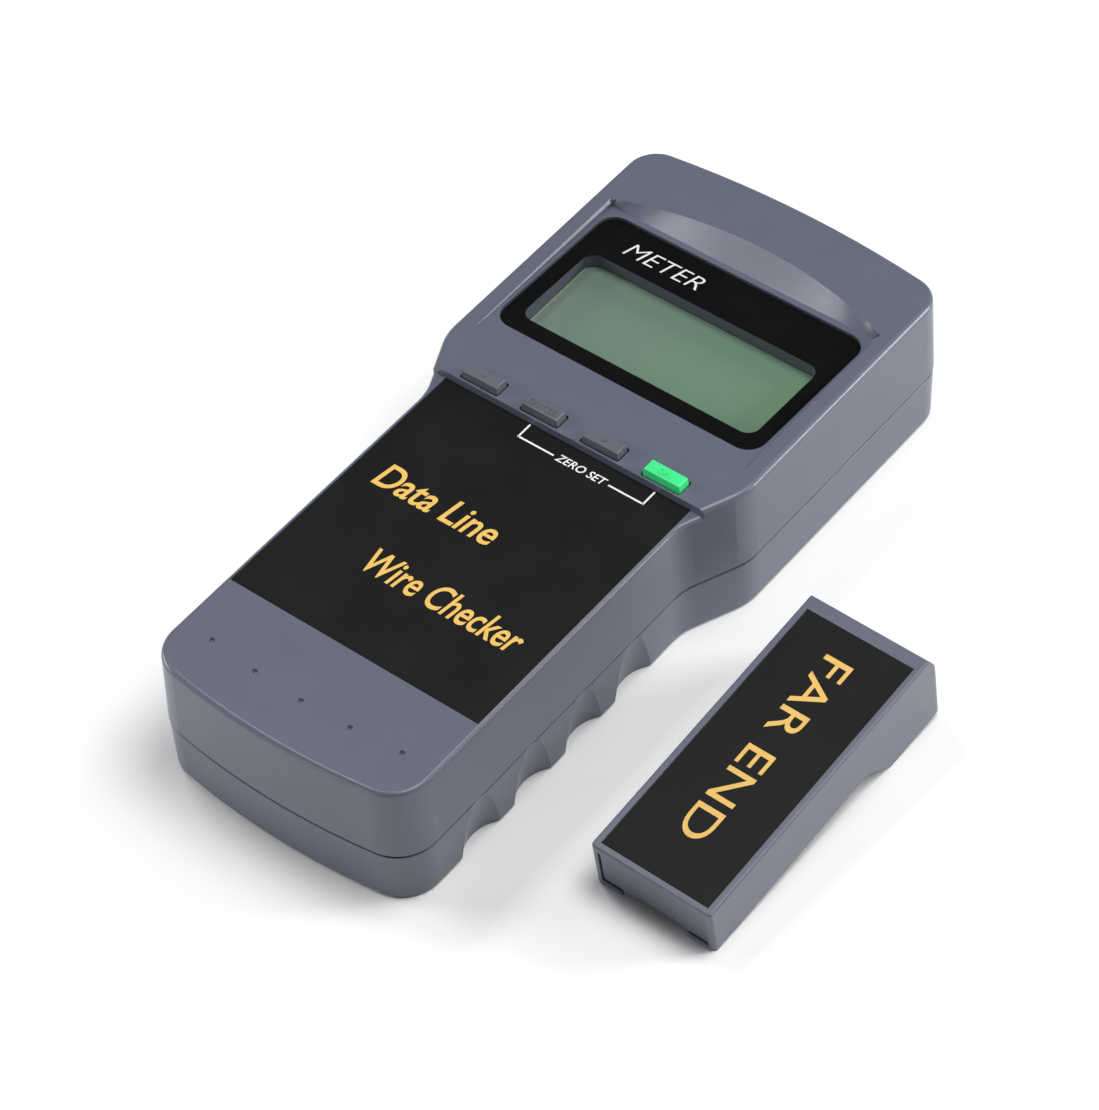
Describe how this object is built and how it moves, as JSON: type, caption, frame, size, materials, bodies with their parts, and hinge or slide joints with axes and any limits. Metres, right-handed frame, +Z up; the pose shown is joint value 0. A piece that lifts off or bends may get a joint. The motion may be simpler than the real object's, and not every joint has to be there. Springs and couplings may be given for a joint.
{
  "type": "network cable tester",
  "caption": "Hand-held network cable tester with a display, push keys and modular jacks, and a separate plug-in wire-map remote.",
  "frame": {"origin": "middle of the main unit's back, on the surface it lies on", "axes": "+Z up out of the main unit's face, +Y towards its display end, +X to its right; the remote lies on the same surface at +X"},
  "size_m": [0.1304, 0.1828, 0.0367],
  "materials": {
    "case_grey": "fine satin texture",
    "label_black": "satin printed film",
    "window_clear": "clear, glossy",
    "mask_black": "gloss black",
    "lcd_glass": "satin",
    "backlight": "milky",
    "frame_grey": "satin",
    "strip_rubber": "soft",
    "board_green": "satin",
    "chip_black": "satin",
    "metal_can": "satin",
    "capacitor_blue": "gloss sleeve",
    "key_grey": "satin",
    "key_green": "satin",
    "plunger_black": "satin",
    "jack_black": "satin",
    "gold": "gold plated",
    "battery_wrap": "satin",
    "terminal_steel": "bright",
    "snap_black": "soft vinyl",
    "lead_red": "gloss insulation",
    "lead_black": "gloss insulation",
    "screw_steel": "zinc plated",
    "remote_grey": "fine satin texture"
  },
  "bodies": {
    "main_unit": {"back_shell": "case_grey", "battery": "battery_wrap", "battery_lead_black": "lead_black", "battery_lead_red": "lead_red", "battery_snap": "snap_black", "battery_terminals": "terminal_steel", "board_screws": "screw_steel", "capacitors": "capacitor_blue", "case_screws": "screw_steel", "crystal": "metal_can", "display_mask": "mask_black", "display_window": "window_clear", "front_label": "label_black", "front_shell": "case_grey", "key_switches": "chip_black", "lcd_backlight": "backlight", "lcd_contact_strips": "strip_rubber", "lcd_frame": "frame_grey", "lcd_glass": "lcd_glass", "line_jack": "jack_black", "line_jack_contacts": "gold", "loopback_jack": "jack_black", "loopback_jack_contacts": "gold", "main_board": "board_green", "microcontroller": "chip_black", "switching_chips": "chip_black"},
    "key_1": {"key_cap_1": "key_grey", "key_plunger_1": "plunger_black"},
    "key_2": {"key_cap_2": "key_grey", "key_plunger_2": "plunger_black"},
    "key_3": {"key_cap_3": "key_grey", "key_plunger_3": "plunger_black"},
    "key_4": {"key_cap_4": "key_green", "key_plunger_4": "plunger_black"},
    "battery_door": {"battery_door": "case_grey"},
    "remote": {"remote_base": "remote_grey", "remote_board": "board_green", "remote_case": "remote_grey", "remote_jack": "jack_black", "remote_jack_contacts": "gold", "remote_label": "label_black", "remote_resistors": "chip_black", "remote_screws": "screw_steel"}
  },
  "joints": [
    {"name": "key_1_press", "type": "slide", "parent": "main_unit", "child": "key_1", "axis": [0, 0, -1], "range_m": [0, 0.0005], "stiffness_N_per_m": 800, "springref_m": -0.0005},
    {"name": "key_2_press", "type": "slide", "parent": "main_unit", "child": "key_2", "axis": [0, 0, -1], "range_m": [0, 0.0005], "stiffness_N_per_m": 800, "springref_m": -0.0005},
    {"name": "key_3_press", "type": "slide", "parent": "main_unit", "child": "key_3", "axis": [0, 0, -1], "range_m": [0, 0.0005], "stiffness_N_per_m": 800, "springref_m": -0.0005},
    {"name": "key_4_press", "type": "slide", "parent": "main_unit", "child": "key_4", "axis": [0, 0, -1], "range_m": [0, 0.0005], "stiffness_N_per_m": 800, "springref_m": -0.0005},
    {"name": "battery_door_hinge", "type": "hinge", "parent": "main_unit", "child": "battery_door", "pos_m": [0, -0.0818, 0.0012], "axis": [-1, 0, 0], "range_deg": [0, 75]},
    {"name": "remote_lift", "type": "slide", "parent": "main_unit", "child": "remote", "axis": [0, 0, 1], "range_m": [0, 0.05]}
  ]
}
